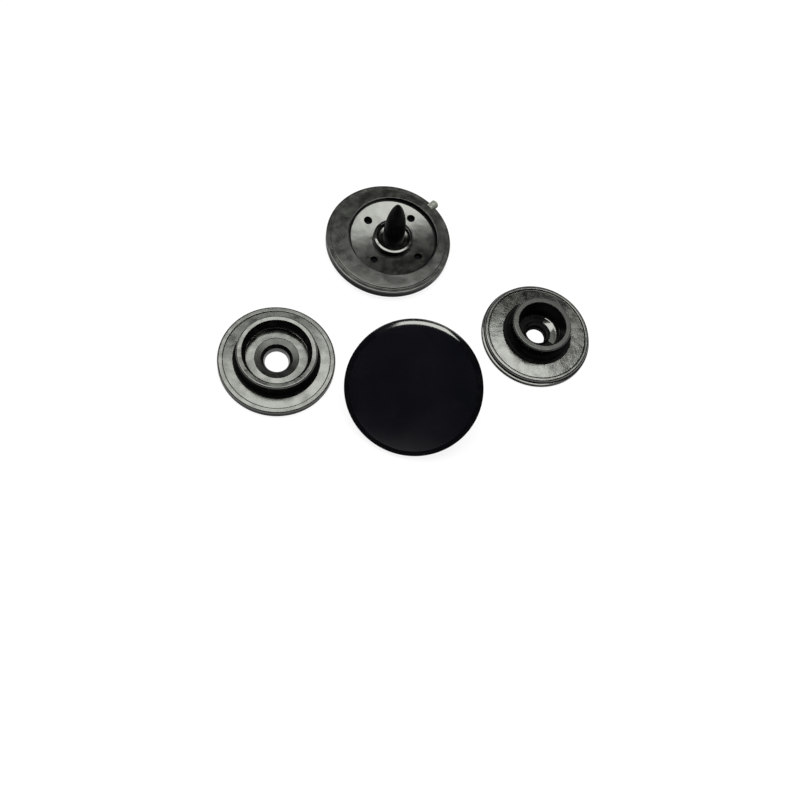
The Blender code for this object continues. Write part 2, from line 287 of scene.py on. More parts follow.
MOTTLED = Resin(
    name="mottled_resin", colour=(0.0040, 0.0045, 0.0038), haze=(0.0180, 0.0200, 0.0155),
    smudge=(0.026, 0.029, 0.023), smudge_size=0.9 * MM, roughness=0.16, patchiness=0.22,
    patch_size=1.2 * MM, grain_size=0.14 * MM, grain_depth=1.6 * MICRON, flow_depth=26.0 * MICRON,
    gloss=0.88,
)
TEXTURED = Resin(
    name="textured_resin", colour=(0.0042, 0.0045, 0.0038), haze=(0.0150, 0.0158, 0.0128),
    smudge=(0.030, 0.031, 0.025), smudge_size=0.5 * MM, roughness=0.15, patchiness=0.13,
    patch_size=1.0 * MM, grain_size=0.17 * MM, grain_depth=6.5 * MICRON, flow_depth=20.0 * MICRON,
    gloss=1.0,
)
# Painted shade: darker and nearly without gloss, so that walls, holes, the spike and the recess floor's outer
# band read dark as if in shade.
WALL = Resin(
    name="wall_painted_shade_resin", colour=(0.0022, 0.0023, 0.0024), haze=(0.0050, 0.0052, 0.0052),
    smudge=(0.009, 0.009, 0.009), smudge_size=0.6 * MM, roughness=0.3, patchiness=0.12,
    patch_size=0.6 * MM, grain_size=0.12 * MM, grain_depth=2.0 * MICRON, flow_depth=5.0 * MICRON,
    gloss=0.03,
)
# Painted shade: a dark resin with almost no gloss, for the insides of the pin holes and, by bearing, most of
# the glossy cap's soft edge.
DULL_SHADE = Resin(
    name="dull_painted_shade_resin", colour=(0.0028, 0.0028, 0.0044), haze=(0.0046, 0.0040, 0.0058),
    smudge=(0.006, 0.006, 0.007), smudge_size=0.6 * MM, roughness=0.45, patchiness=0.15,
    patch_size=0.6 * MM, grain_size=0.12 * MM, grain_depth=1.5 * MICRON, flow_depth=3.0 * MICRON,
    gloss=0.01,
)
MATTE = Resin(
    name="matte_resin", colour=(0.0036, 0.0041, 0.0040), haze=(0.0100, 0.0112, 0.0104),
    smudge=(0.018, 0.019, 0.018), smudge_size=0.5 * MM, roughness=0.3, patchiness=0.08,
    patch_size=0.7 * MM, grain_size=0.12 * MM, grain_depth=0.8 * MICRON, flow_depth=6.0 * MICRON,
    gloss=0.6,
)
# Pale resin: real stress whitening at the gate stub's broken end, and also a painted highlight on one whole
# side of the stub.
PALE = Resin(
    name="stressed_and_painted_lit_resin", colour=(0.13, 0.135, 0.12), haze=(0.30, 0.31, 0.28),
    smudge=(0.45, 0.46, 0.42), smudge_size=0.3 * MM, roughness=0.5, patchiness=0.15,
    patch_size=0.3 * MM, grain_size=0.08 * MM, grain_depth=5.0 * MICRON, flow_depth=10.0 * MICRON,
    gloss=0.5,
)


@dataclass(frozen=True)
class Corner:
    """A corner of a section."""

    radius: float  # distance from the axis
    height: float  # height above the piece's own zero
    fillet: float = 0.0  # radius that the corner is rounded to
    skin: Skin = Skin.SATIN  # finish of the stretch that leaves the corner
    shift: float = 0.0  # how far the axis of this stretch is moved along the piece's own +X


@dataclass
class Grid:
    """Points of a turned surface: one row for each point of the section, one column for each step round."""

    radius: np.ndarray  # distance of each row from its axis
    height: np.ndarray  # height of each row
    shift: np.ndarray  # shift of each row's axis
    skins: np.ndarray  # finish of each face, as the number of its Skin
    bearing: np.ndarray  # angle of each column
    x: np.ndarray = field(init=False)  # place of each point along the piece's +X
    y: np.ndarray = field(init=False)  # place of each point along the piece's +Y
    z: np.ndarray = field(init=False)  # height of each point

    def __post_init__(self) -> None:
        """Turns the rows about their axes."""
        self.x = self.shift + self.radius * np.cos(self.bearing)
        self.y = self.radius * np.sin(self.bearing)
        self.z = self.height + 0.0 * self.bearing

    def rows(self, low: float, high: float, bottom: float, top: float) -> np.ndarray:
        """A column of 1 for each row between two radii and two heights, and 0 for each other row."""
        across = (self.radius >= low) & (self.radius <= high)
        upright = (self.height >= bottom) & (self.height <= top)
        return (across & upright).astype(float)

    def finish(self, rows: np.ndarray, first: float, last: float, skin: Skin) -> None:
        """Gives the picked rows another finish between two bearings, in degrees."""
        past_first = np.mod(np.degrees(self.bearing) - first, 360.0)
        self.skins[(rows > 0.5) & (past_first <= last - first)] = skin.value


@dataclass
class Turning:
    """Turns a section of corners into a fine mesh."""

    sides: int = 240  # steps round the axis
    spacing: float = 0.2 * MM  # longest step along a straight stretch
    # Distance of the first and last step of a stretch from its ends, which keeps flats flat.
    hold: float = 0.012 * MM
    fillet_step: float = math.radians(15)  # largest turn of one step round a fillet

    def trace(self, corners: list[Corner], closed: bool) -> Grid:
        """Rounds the corners, divides the straight stretches and turns the result.

        Args:
            corners: The section's corners in order.
            closed: Whether the last corner joins the first.

        Returns:
            The turned grid.
        """
        rows: list[Row] = []
        count = len(corners)
        for index, corner in enumerate(corners):
            if not closed and index in (0, count - 1):
                stretch = [(corner.radius, corner.height)]
            else:
                stretch = self._round_corner(corners[index - 1], corner, corners[(index + 1) % count])
            if rows:
                rows += self._divide(rows[-1], stretch[0], corner.shift)
            rows += [(radius, height, corner.shift, corner.skin) for radius, height in stretch]
        if closed:
            rows += self._divide(rows[-1], rows[0][:2], corners[0].shift)
        column = np.array([row[:3] for row in rows])
        bearing = np.linspace(0.0, math.tau, self.sides, endpoint=False)[None, :]
        skins = np.array([[row[3].value] * self.sides for row in rows])
        return Grid(column[:, :1], column[:, 1:2], column[:, 2:3], skins, bearing)

    def _round_corner(self, before: Corner, corner: Corner, after: Corner) -> list[tuple[float, float]]:
        """Points of the fillet at a corner.

        Args:
            before: The corner before it.
            corner: The corner itself.
            after: The corner after it.

        Returns:
            The fillet's points, or the corner alone if it has none.
        """
        here = Vector((corner.radius, corner.height))
        back = Vector((before.radius, before.height)) - here
        ahead = Vector((after.radius, after.height)) - here
        if corner.fillet <= 0.0 or min(back.length, ahead.length) < MICRON:
            return [tuple(here)]
        opening = back.angle(ahead)
        reach = corner.fillet / math.tan(opening / 2)
        for stretch, far in ((back, before), (ahead, after)):
            reach = min(reach, (HALF_STRETCH if far.fillet else WHOLE_STRETCH) * stretch.length)
        turn = math.pi - opening
        if turn < LEAST_TURN:
            return [tuple(here)]
        start = here + back.normalized() * reach
        end = here + ahead.normalized() * reach
        inward = (back.normalized() + ahead.normalized()).normalized()
        centre = here + inward * (reach / math.cos(opening / 2))
        steps = max(2, math.ceil(turn / self.fillet_step))
        first = start - centre
        sign = 1.0 if first.x * (end - centre).y - first.y * (end - centre).x > 0 else -1.0
        points = []
        for step in range(steps + 1):
            angle = sign * turn * step / steps
            cosine, sine = math.cos(angle), math.sin(angle)
            radius = centre.x + first.x * cosine - first.y * sine
            points.append((radius, centre.y + first.x * sine + first.y * cosine))
        return points

    def _divide(self, last: Row, end: tuple[float, float], end_shift: float) -> list[Row]:
        """Points between two ends of a straight stretch.

        Args:
            last: Row where the stretch starts.
            end: Radius and height where it ends.
            end_shift: Shift of the axis where it ends.

        Returns:
            The rows in between, without the ends.
        """
        radius, height, shift, skin = last
        length = math.hypot(end[0] - radius, end[1] - height)
        if length < 3 * self.hold:
            return []
        steps = max(1, math.ceil((length - 2 * self.hold) / self.spacing))
        inner = [self.hold + (length - 2 * self.hold) * step / steps for step in range(steps + 1)]
        shares = [distance / length for distance in inner]
        rise, slide = end[1] - height, end_shift - shift
        return [
            (radius + (end[0] - radius) * share, height + rise * share, shift + slide * share, skin)
            for share in shares
        ]

    @staticmethod
    def mesh(name: str, grid: Grid, closed: bool, materials: list[bpy.types.Material]) -> bpy.types.Object:
        """Makes an object of a turned grid, with its faces pointing out.

        Args:
            name: Name of the object.
            grid: The grid, shaped as the piece needs.
            closed: Whether the last row joins the first.
            materials: One material for each skin.

        Returns:
            The object, linked to the scene.
        """
        rows, sides = grid.x.shape
        points = np.stack([grid.x, grid.y, grid.z], axis=-1).reshape(-1, 3)
        faces, skins = [], []
        for row in range(rows if closed else rows - 1):
            here, there = row * sides, (row + 1) % rows * sides
            for side in range(sides):
                beside = (side + 1) % sides
                faces.append((here + side, here + beside, there + beside, there + side))
                skins.append(int(grid.skins[row, side]))
        mesh = bpy.data.meshes.new(name)
        mesh.from_pydata(points.tolist(), [], faces)
        for material in materials:
            mesh.materials.append(material)
        mesh.polygons.foreach_set("material_index", skins)
        bm = bmesh.new()
        bm.from_mesh(mesh)
        bmesh.ops.remove_doubles(bm, verts=bm.verts, dist=MERGE)
        bmesh.ops.recalc_face_normals(bm, faces=bm.faces)
        bm.to_mesh(mesh)
        bm.free()
        mesh.shade_smooth()
        piece = bpy.data.objects.new(name, mesh)
        bpy.context.scene.collection.objects.link(piece)
        return piece


@dataclass(frozen=True)
class Spot:
    """Where a piece lies beside the tipped cap."""

    bearing: float  # bearing from the tipped cap
    gap: float  # gap between the two rims
    turn: float = 0.0  # turn of the piece about its own axis

    def placing(self, cap_radius: float, radius: float) -> Matrix:
        """How the piece lies, counted from the tipped cap.

        Args:
            cap_radius: Radius of the tipped cap.
            radius: Radius of the piece.

        Returns:
            The placing matrix.
        """
        reach = cap_radius + self.gap + radius
        place = Vector((reach * math.cos(self.bearing), reach * math.sin(self.bearing), 0.0))
        return Matrix.Translation(place) @ Matrix.Rotation(self.turn, 4, "Z")


@dataclass(frozen=True)
class Layout:
    """How the loose pieces lie round the tipped cap."""

    tipped_bearing: float = math.radians(72)  # bearing that the tipped cap's spike points to
    spike_up: Spot = Spot(math.radians(96.8), 4.78 * MM, math.radians(29))
    stud: Spot = Spot(math.radians(31.5), 3.22 * MM)
    socket: Spot = Spot(math.radians(164.6), 1.15 * MM)

    def anchor(self, cap_radius: float, stud_radius: float) -> Vector:
        """Place of the tipped cap's middle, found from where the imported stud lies.

        Args:
            cap_radius: Radius of the tipped cap.
            stud_radius: Radius of the stud.

        Returns:
            The place, on the table.
        """
        low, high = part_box("stud")
        middle = (low + high) / 2
        middle.z = 0.0
        return middle - self.stud.placing(cap_radius, stud_radius).translation


@dataclass
class Moulding:
    """What every piece of the set shares."""

    node: str = ""  # CAD node that the piece stands for
    slot: Slot = Slot.SATIN  # slot of the record that it takes its finish from

    def materials(self) -> list[bpy.types.Material]:
        """Finishes of the piece, in the order of Skin."""
        return [finish.material() for finish in (POLISHED, SATIN, TEXTURED, WALL, DULL_SHADE, PALE, MATTE)]

    def install(self, piece: bpy.types.Object, place: Matrix) -> bpy.types.Object:
        """Lays a finished piece in its place and ties it to the frame.

        Args:
            piece: The piece, as it left the mould.
            place: Where it lies.

        Returns:
            The same piece.
        """
        piece.data.transform(place)
        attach(piece, "root")
        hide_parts(self.node)
        return piece


def cut(piece: bpy.types.Object, tools: list[tuple[bpy.types.Object, str]]) -> None:
    """Joins tools to a piece or cuts them away, and removes them.

    Args:
        piece: The piece.
        tools: Objects, each with UNION or DIFFERENCE.
    """
    for tool, operation in tools:
        boolean = piece.modifiers.new(tool.name, "BOOLEAN")
        boolean.operation = operation
        boolean.solver = "EXACT"
        boolean.object = tool
    graph = bpy.context.evaluated_depsgraph_get()
    made = bpy.data.meshes.new_from_object(piece.evaluated_get(graph))
    piece.modifiers.clear()
    rough = piece.data
    piece.data = made
    made.name = piece.name
    bpy.data.meshes.remove(rough)
    for tool, _ in tools:
        bpy.data.objects.remove(tool)
    made.shade_smooth()
    made.set_sharp_from_angle(angle=SHARP)


@dataclass
class Cap(Moulding):
    """A cap with its spike: domed face, rim, shifted back with a recess, collar and ogive spike."""

    radius: float = 6.2 * MM  # radius of the disc
    edge_height: float = 1.28 * MM  # height of the rim above the crown of the face
    dome: float = 75.0 * MM  # radius of the domed face
    edge_round: float = 0.92 * MM  # radius of the soft edge of the face
    edge_turn: float = math.radians(45)  # slope of the soft edge where it meets the side
    rim_round: float = 0.1 * MM
    step_width: float = 0.36 * MM  # width of the rim outside the fine step up to the ring
    step_slope: float = 0.06 * MM  # width of that step
    step_dip: float = 0.012 * MM  # how much lower the rim is at the foot of the step
    core_shift: float = 0.53 * MM  # how far the moulded back sits off the rim's axis
    recess_radius: float = 4.41 * MM
    land_width: float = 0.44 * MM  # width of the flat land round it
    land_rise: float = 0.12 * MM  # rise of the land above the rim
    recess_depth: float = 0.66 * MM  # depth of the recess below the land
    floor_dish: float = 0.25 * MM  # rise of the recess floor from the collar to the wall
    floor_tilt: float = 0.03  # slope that the recess floor shrank to as it cooled
    floor_bearing: float = math.radians(80)  # bearing that it rises to
    floor_twist: float = -12.0  # warp of the recess floor, as height for each product of x and y
    twist_bearing: float = math.radians(-29)  # bearing of the warp's own x
    lip: float = 0.08 * MM  # width of the slope at the recess's lip
    spike_radius: float = 1.08 * MM  # radius of the spike at its foot
    spike_length: float = 5.2 * MM  # length of the spike above the rim
    fullness: float = 2.6  # power that makes the ogive full
    taper: float = 0.68  # power that draws it to its point
    collar_radius: float = 1.96 * MM
    collar_drop: float = 0.07 * MM  # drop of the collar's top below the land
    collar_rim: float = 0.28 * MM  # width of the collar's top
    collar_fall: float = 0.05 * MM  # fall of the collar's top outwards
    collar_waves: float = 0.026 * MM  # height of the waves in the collar's top
    collar_dish: float = 0.28 * MM  # depth of the dish inside it
    pin_count: int = 4
    pin_radius: float = 0.37 * MM
    pin_circle: float = 3.112 * MM  # radius of the circle that the holes stand on
    pin_depth: float = 0.4 * MM
    pin_draft: float = 0.03 * MM  # how much a hole narrows to its bottom
    pin_flare: float = 0.06 * MM  # how much it widens at its mouth
    pin_bearing: float = math.radians(25)  # bearing of the first hole
    gate_bearing: float = math.radians(15.2)
    gate_radius: float = 0.42 * MM
    gate_reach: float = 0.6 * MM  # how far the stub stands out
    gate_root: float = 0.5 * MM  # how far it reaches into the rim
    gate_drop: float = 0.22 * MM  # drop of its axis below the rim
    gated: bool = False  # whether the stub is left on
    lean: tuple[float, float] = (0.0, 0.0)  # how far the point is bent aside, along +X and +Y
    bend: float = 1.5  # power that bends the spike more towards its point
    shade_edge: tuple[float, float] = (24.0, 305.0)  # bearings, in degrees, where a glossy cap's edge gets the dark dull resin as painted shade
    shade_share: float = 0.6  # part of the soft edge that gets that painted shade
    turning: Turning = field(default_factory=Turning)

    @property
    def land(self) -> float:
        """Height of the land above the crown."""
        return self.edge_height + self.land_rise

    def floor(self, radius: float) -> float:
        """Height of the dished recess floor above the crown, at a distance from the axis of the back."""
        share = (radius**2 - self.collar_radius**2) / (self.recess_radius**2 - self.collar_radius**2)
        return self.land - self.recess_depth + self.floor_dish * share

    @property
    def tip(self) -> float:
        """Height of the spike's point above the crown."""
        return self.edge_height + self.spike_length

    def face(self) -> list[Corner]:
        """Corners from the crown of the face, round its edge and over the rim to the top of the step.

        Returns:
            The corners.
        """
        reach = self.dome - self.edge_round
        meeting = math.asin((self.radius - self.edge_round * math.sin(self.edge_turn)) / reach)
        edge_radius = reach * math.sin(meeting)
        edge_height = self.dome - reach * math.cos(meeting)
        corners = []
        for step in range(FACE_STEPS + 1):
            angle = meeting * step / FACE_STEPS
            radius = self.dome * math.sin(angle)
            corners.append(Corner(radius, self.dome * (1 - math.cos(angle)), 0.0, Skin.POLISHED))
        for step in range(1, EDGE_STEPS + 1):
            angle = meeting + (self.edge_turn - meeting) * step / EDGE_STEPS
            radius = edge_radius + self.edge_round * math.sin(angle)
            height = edge_height - self.edge_round * math.cos(angle)
            corners.append(Corner(radius, height, 0.0, Skin.POLISHED))
        corners[-1] = replace(corners[-1], fillet=SOFT, skin=Skin.WALL)
        step_radius = self.radius - self.rim_round - self.step_width
        corners += [
            Corner(self.radius, self.edge_height, self.rim_round),
            Corner(step_radius, self.edge_height - self.step_dip, FINE),
            Corner(step_radius - self.step_slope, self.land, FINE),
        ]
        return corners

    def back(self) -> list[Corner]:
        """Corners from the land, down the recess and over the collar to the spike's foot.

        Returns:
            The corners.
        """
        collar_top = self.land - self.collar_drop
        foot = collar_top - self.collar_dish
        spread = self.recess_radius - self.collar_radius
        floor = [self.recess_radius - spread * step / FLOOR_STEPS for step in range(1, FLOOR_STEPS)]
        dish = (self.collar_radius + self.spike_radius) / 2
        return [
            Corner(self.recess_radius + self.land_width, self.land, fillet=0.2 * MM),
            Corner(self.recess_radius + self.lip, self.land, CRISP, Skin.POLISHED),
            Corner(self.recess_radius + KEEN, self.land - self.lip, CRISP, Skin.WALL),
            # The floor's outer band keeps the dark wall resin: a painted shade line along the foot of the
            # recess wall.
            Corner(self.recess_radius, self.floor(self.recess_radius), 0.0, Skin.WALL),
            *[Corner(radius, self.floor(radius)) for radius in floor],
            Corner(self.collar_radius, self.floor(self.collar_radius), 0.0, Skin.WALL),
            Corner(self.collar_radius, collar_top - self.collar_fall, fillet=0.08 * MM, skin=Skin.POLISHED),
            Corner(self.collar_radius - self.collar_rim, collar_top, fillet=0.06 * MM, skin=Skin.POLISHED),
            Corner(dish, foot + self.collar_dish / 4, fillet=0.3 * MM, skin=Skin.POLISHED),
        ]

    def spike(self) -> list[Corner]:
        """Corners of the spike, a full ogive from its foot to its rounded point.

        Returns:
            The corners.
        """
        foot = self.land - self.collar_drop - self.collar_dish
        corners = []
        for step in range(SPIKE_STEPS):
            share = math.sin(math.pi / 2 * step / SPIKE_STEPS)
            radius = self.spike_radius * (1 - share**self.fullness) ** self.taper
            corners.append(Corner(radius, foot + share * (self.tip - foot), 0.0, Skin.WALL))
        corners.append(Corner(0.0, self.tip, 0.0, Skin.WALL))
        return corners

    def pins(self, materials: list[bpy.types.Material]) -> list[bpy.types.Object]:
        """Tools that cut the core pin holes, each flared where it meets the recess floor.

        Args:
            materials: Materials of the piece.

        Returns:
            The tools.
        """
        floor = self.floor(self.pin_circle)
        bottom, above = floor - self.pin_depth, floor + self.pin_depth / 2
        mouth = self.pin_radius + self.pin_flare
        section = [
            # The hole's inside gets the dark dull resin as painted shade.
            Corner(0.0, bottom, 0.0, Skin.DULL_SHADE),
            Corner(self.pin_radius - self.pin_draft, bottom, SOFT, Skin.DULL_SHADE),
            Corner(self.pin_radius, floor - SOFT, SOFT, Skin.DULL_SHADE),
            Corner(mouth, floor + CRISP, 0.0, Skin.WALL),
            Corner(mouth, above, 0.0, Skin.WALL),
            Corner(0.0, above, 0.0, Skin.WALL),
        ]
        turning = Turning(sides=40)
        tools = []
        for index in range(self.pin_count):
            bearing = self.pin_bearing + math.tau * index / self.pin_count
            grid = turning.trace(section, closed=False)
            grid.x += self.core_shift + self.pin_circle * math.cos(bearing)
            grid.y += self.pin_circle * math.sin(bearing)
            tools.append(turning.mesh(f"pin_{index}", grid, False, materials))
        return tools

    def gate_stub(self, materials: list[bpy.types.Material]) -> bpy.types.Object:
        """The stub of the gate, with the uneven end that it broke off with.

        Args:
            materials: Materials of the piece.

        Returns:
            The stub, lying where it joins the rim.
        """
        length = self.gate_root + self.gate_reach
        section = [
            Corner(0.0, 0.0, 0.0, Skin.WALL),
            Corner(self.gate_radius, 0.0, 0.0, Skin.WALL),
            Corner(self.gate_radius, length - 0.1 * MM, fillet=0.12 * MM, skin=Skin.PALE),
            Corner(0.0, length, 0.0, Skin.PALE),
        ]
        turning = Turning(sides=64, spacing=0.06 * MM)
        grid = turning.trace(section, closed=False)
        end = ease(0.7 * length, length, grid.z)  # only its outer part is uneven
        across = 3.0 * grid.x / self.gate_radius + 2.0 * grid.y / self.gate_radius
        grid.z += end * SOFT * wander(across, seed=5, waves=4)
        # Painted highlight: the stub's lit side gets the pale resin too, besides its stress-whitened end.
        lit_side = (105.0, 255.0)  # about its own axis, in degrees
        grid.finish(np.ones_like(grid.radius), *lit_side, Skin.PALE)
        stub = turning.mesh("gate", grid, False, materials)
        middle = Vector((self.radius - self.gate_root, 0.0, self.edge_height - self.gate_drop))
        lie_down = Matrix.Rotation(math.pi / 2, 4, "Y")
        turn = Matrix.Rotation(self.gate_bearing, 4, "Z")
        stub.data.transform(turn @ Matrix.Translation(middle) @ lie_down)
        return stub

    def materials(self) -> list[bpy.types.Material]:
        """Finishes of the cap, in the order of Skin; a glossy cap has a polished face.

        Returns:
            The materials.
        """
        made = super().materials()
        if self.slot is Slot.GLOSS:
            made[Skin.POLISHED.value] = GLOSS_FACE.material()
        return made

    def build(self) -> bpy.types.Object:
        """Builds the cap spike up, as it left the mould.

        Returns:
            The cap at its own zero.
        """
        materials = self.materials()
        core = [replace(corner, shift=self.core_shift) for corner in self.back() + self.spike()]
        grid = self.turning.trace(self.face() + core, closed=False)
        bend = np.clip((grid.z - self.land) / (self.tip - self.land), 0.0, 1.0) ** self.bend
        grid.x += self.lean[0] * bend
        grid.y += self.lean[1] * bend
        above_face, wall_foot = 0.5 * MM, self.floor(self.recess_radius)
        floor = grid.rows(self.collar_radius, self.recess_radius, above_face, wall_foot)
        floor *= grid.height <= np.vectorize(self.floor)(grid.radius) + KEEN
        east, north = grid.x - self.core_shift, grid.y
        slope = np.cos(self.floor_bearing) * east + np.sin(self.floor_bearing) * north
        twist = self.floor_twist * grid.radius**2 / 2 * np.sin(2.0 * (grid.bearing - self.twist_bearing))
        grid.z += floor * (self.floor_tilt * slope + twist)
        inwards, down = 0.34 * MM, 0.2 * MM
        collar = grid.rows(self.collar_radius - inwards, self.collar_radius, self.land - down, self.land)
        grid.z += collar * self.collar_waves * wander(grid.bearing, seed=3, waves=15)
        # Painted shade: by bearing, most of the glossy cap's soft edge gets the dark dull resin, which hides
        # its reflection there.
        if self.slot is Slot.GLOSS:
            inner = self.radius - self.shade_share * self.edge_round
            edge = grid.rows(inner, self.radius, 0.0, self.edge_height)
            grid.finish(edge, *self.shade_edge, Skin.DULL_SHADE)
        piece = self.turning.mesh(self.node + "_moulding", grid, False, materials)
        tools = [(tool, "DIFFERENCE") for tool in self.pins(materials)]
        if self.gated:
            tools.append((self.gate_stub(materials), "UNION"))
        cut(piece, tools)
        return piece

    def tipped(self, bearing: float) -> Matrix:
        """How the cap lies face up, on its rim and on the point of its spike.

        Args:
            bearing: Bearing that the spike points to.

        Returns:
            The placing matrix, with the rim's middle over the origin.
        """
        rim = Vector((self.rim_round - self.radius, self.edge_height - self.rim_round))
        tip = Vector((self.core_shift, self.tip))
        span = tip - rim
        tilt = math.atan2(span.y, span.x) - math.asin(self.rim_round / span.length)
        turn = Matrix.Rotation(bearing, 4, "Z") @ Matrix.Rotation(-tilt, 4, "Y")
        turn = turn @ Matrix.Rotation(math.pi, 4, "X")
        middle = turn @ Vector((0.0, 0.0, self.edge_height))
        table = tip.y * math.cos(tilt) - tip.x * math.sin(tilt)
        return Matrix.Translation((-middle.x, -middle.y, table)) @ turn


@dataclass
class Stud(Moulding):
    """The stud: flange with a bead and a parting step, flared barrel with the snap lip, well and hole."""

    node: str = "stud"
    radius: float = 5.38 * MM  # radius of the flange
    land: float = 0.91 * MM  # height of the flange inside its bead
    bead_height: float = 0.13 * MM
    bead_width: float = 0.63 * MM
    bead_slope: float = 0.1 * MM  # width of the bead's inner slope
    parting: float = 0.5 * MM  # height of the parting step in the flange's side
    parting_step: float = 0.17 * MM  # width of that step
    lip_radius: float = 2.86 * MM
    lip_side: float = 0.27 * MM  # height of the lip's upright side
    lip_round: float = 0.2 * MM
    undercut: float = 0.24 * MM  # how much thinner the neck is than the lip
    flare: float = 0.8 * MM  # radius of the barrel's foot
    crown: float = 0.065 * MM  # how much higher the flange is at the foot than at its bead
    height: float = 2.88 * MM  # height of the barrel
    lip_wall: float = 0.58 * MM  # width of the barrel's top
    well_taper: float = 0.23 * MM  # how much the well narrows to its floor
    well_foot: float = 0.74 * MM  # height of the well's steeper lower part
    well_draft: float = 0.02 * MM  # how much that part narrows
    well_corner: float = 0.2 * MM  # rounding of the well's floor
    ledge_rise: float = 0.12 * MM  # rise of the well's floor to the wall, at the sink mark
    ledge_reach: float = 0.6 * MM  # width that it rises over
    ledge_fade: tuple[float, float] = (0.25 * MM, 0.9 * MM)  # heights over which it fades up the wall
    ledge_lobe: int = 22  # power that makes the mark narrow
    well_shade: tuple[float, float] = (62.0, 325.0)  # bearings, in degrees, where the well gets the dark wall resin as painted shade
    well_soft_highlight: tuple[float, float] = (-35.0, 9.0)  # bearings, in degrees, where it is matte, as a soft painted highlight beside the polished arc
    ledge_bearing: float = math.radians(35)  # bearing of that sink mark
    crater_height: float = 1.05 * MM  # height of the crater round the hole
    crater_width: float = 0.22 * MM  # width of the crater's slope
    crater_rise: float = 0.14 * MM  # rise of the crater above the well's floor
    hole_lip: float = 1.102 * MM  # radius of the hole at the crater
    hole_back: float = 1.072 * MM  # radius of the hole at the back
    flash: float = 0.14 * MM  # width of the thin flash round the back of the hole
    flash_top: float = 0.07 * MM  # height of its upper face
    flash_bottom: float = 0.04 * MM  # height of its lower face
    flash_root: float = 0.14 * MM  # height where it leaves the hole
    flash_ragged: float = 0.035 * MM  # unevenness of its edge
    flash_shift: float = 0.12 * MM  # how much wider it is on the far side, along -Y
    turning: Turning = field(default_factory=lambda: Turning(sides=360))

    def section(self) -> list[Corner]:
        """Corners of the closed section, from the back's outer edge over flange and barrel to the hole.

        Returns:
            The corners.
        """
        crest = self.land + self.bead_height
        bead = self.radius - self.bead_width
        side = self.radius - self.parting_step
        mouth = self.lip_radius - self.lip_wall
        well = mouth - self.well_taper
        floor = self.crater_height - self.crater_rise
        crater = self.hole_lip + self.crater_width / 3
        burr = self.hole_back - self.flash
        return [
            Corner(self.radius, 0.0, BACK_ROUND, Skin.WALL),
            Corner(self.radius, self.parting, SOFT),
            Corner(side, self.parting + CRISP, fillet=0.02 * MM, skin=Skin.WALL),
            Corner(side, crest, BEAD_ROUND),
            Corner(bead + self.bead_slope, crest, fillet=0.09 * MM),
            Corner(bead, self.land, FINE, Skin.TEXTURED),
            *self.foot(self.lip_radius - self.undercut),
            Corner(self.lip_radius, self.height - self.lip_side, fillet=0.1 * MM, skin=Skin.POLISHED),
            Corner(self.lip_radius, self.height, self.lip_round, Skin.MATTE),
            Corner(mouth, self.height, fillet=0.09 * MM, skin=Skin.WALL),
            Corner(well + self.well_draft, floor + self.well_foot, 0.0, Skin.POLISHED),
            Corner(well, floor, self.well_corner, Skin.POLISHED),
            Corner(self.hole_lip + self.crater_width, floor, 0.0, Skin.WALL),
            Corner(crater, self.crater_height, fillet=0.06 * MM, skin=Skin.WALL),
            Corner(self.hole_lip, self.crater_height - self.crater_rise / 2, FINE, Skin.WALL),
            Corner(self.hole_back, self.flash_root, SOFT, Skin.WALL),
            Corner(burr, self.flash_top, KEEN, Skin.WALL),
            Corner(burr, self.flash_bottom, KEEN, Skin.WALL),
            Corner(self.hole_back + HOLE_CHAMFER, 0.0, CRISP, Skin.WALL),
        ]

    def foot(self, neck: float) -> list[Corner]:
        """Corners of the barrel's foot, which flares from the flange to the neck.

        Args:
            neck: Radius of the neck.

        Returns:
            The corners, from the flange upwards.
        """
        crown = self.land + self.crown
        corners = [Corner(neck + self.flare, crown, 0.0, Skin.WALL)]
        for step in range(1, FLARE_STEPS + 1):
            angle = math.pi / 2 * step / FLARE_STEPS
            radius = neck + self.flare * (1 - math.sin(angle))
            height = self.land + self.flare * (1 - math.cos(angle))
            corners.append(Corner(radius, max(height, crown), 0.0, Skin.WALL))
        corners[-1] = replace(corners[-1], skin=Skin.POLISHED)
        return corners

    def build(self) -> bpy.types.Object:
        """Builds the stud, back down.

        Returns:
            The stud at its own zero.
        """
        grid = self.turning.trace(self.section(), closed=True)
        bead = self.radius - self.bead_width
        flange = grid.rows(self.lip_radius, bead, self.land, self.land + self.crown)
        fall = np.clip((grid.height - self.land) / self.crown, 0.0, 1.0)
        grid.z -= flange * fall * self.crown * np.maximum(0.0, np.cos(grid.bearing)) ** 2
        crater = self.hole_lip + self.crater_width
        floor = self.crater_height - self.crater_rise
        fade_start, top = (floor + height for height in self.ledge_fade)
        ledge = grid.rows(crater - KEEN, self.lip_radius - self.lip_wall, floor - KEEN, top)
        # Painted highlight and shade: the well keeps its polish only in a narrow arc on one side, is matte
        # beside it and gets dark resin elsewhere.
        grid.finish(ledge, *self.well_shade, Skin.WALL)
        grid.finish(ledge, *self.well_soft_highlight, Skin.MATTE)
        mark = np.maximum(0.0, np.cos(grid.bearing - self.ledge_bearing)) ** self.ledge_lobe
        outward = np.clip((grid.radius - crater) / self.ledge_reach, 0.0, 1.0)
        fade = 1.0 - ease(fade_start, top, grid.height)
        grid.z += ledge * self.ledge_rise * mark * outward * fade
        edge = self.hole_back - self.flash
        burr = grid.rows(edge - CRISP, edge + SOFT, 0.0, self.flash_root - KEEN)
        grid.y -= burr * self.flash_shift
        ragged = burr * self.flash_ragged * wander(grid.bearing, seed=11, waves=14)
        grid.x += ragged * np.cos(grid.bearing)
        grid.y += ragged * np.sin(grid.bearing)
        return self.turning.mesh("stud_moulding", grid, True, self.materials())


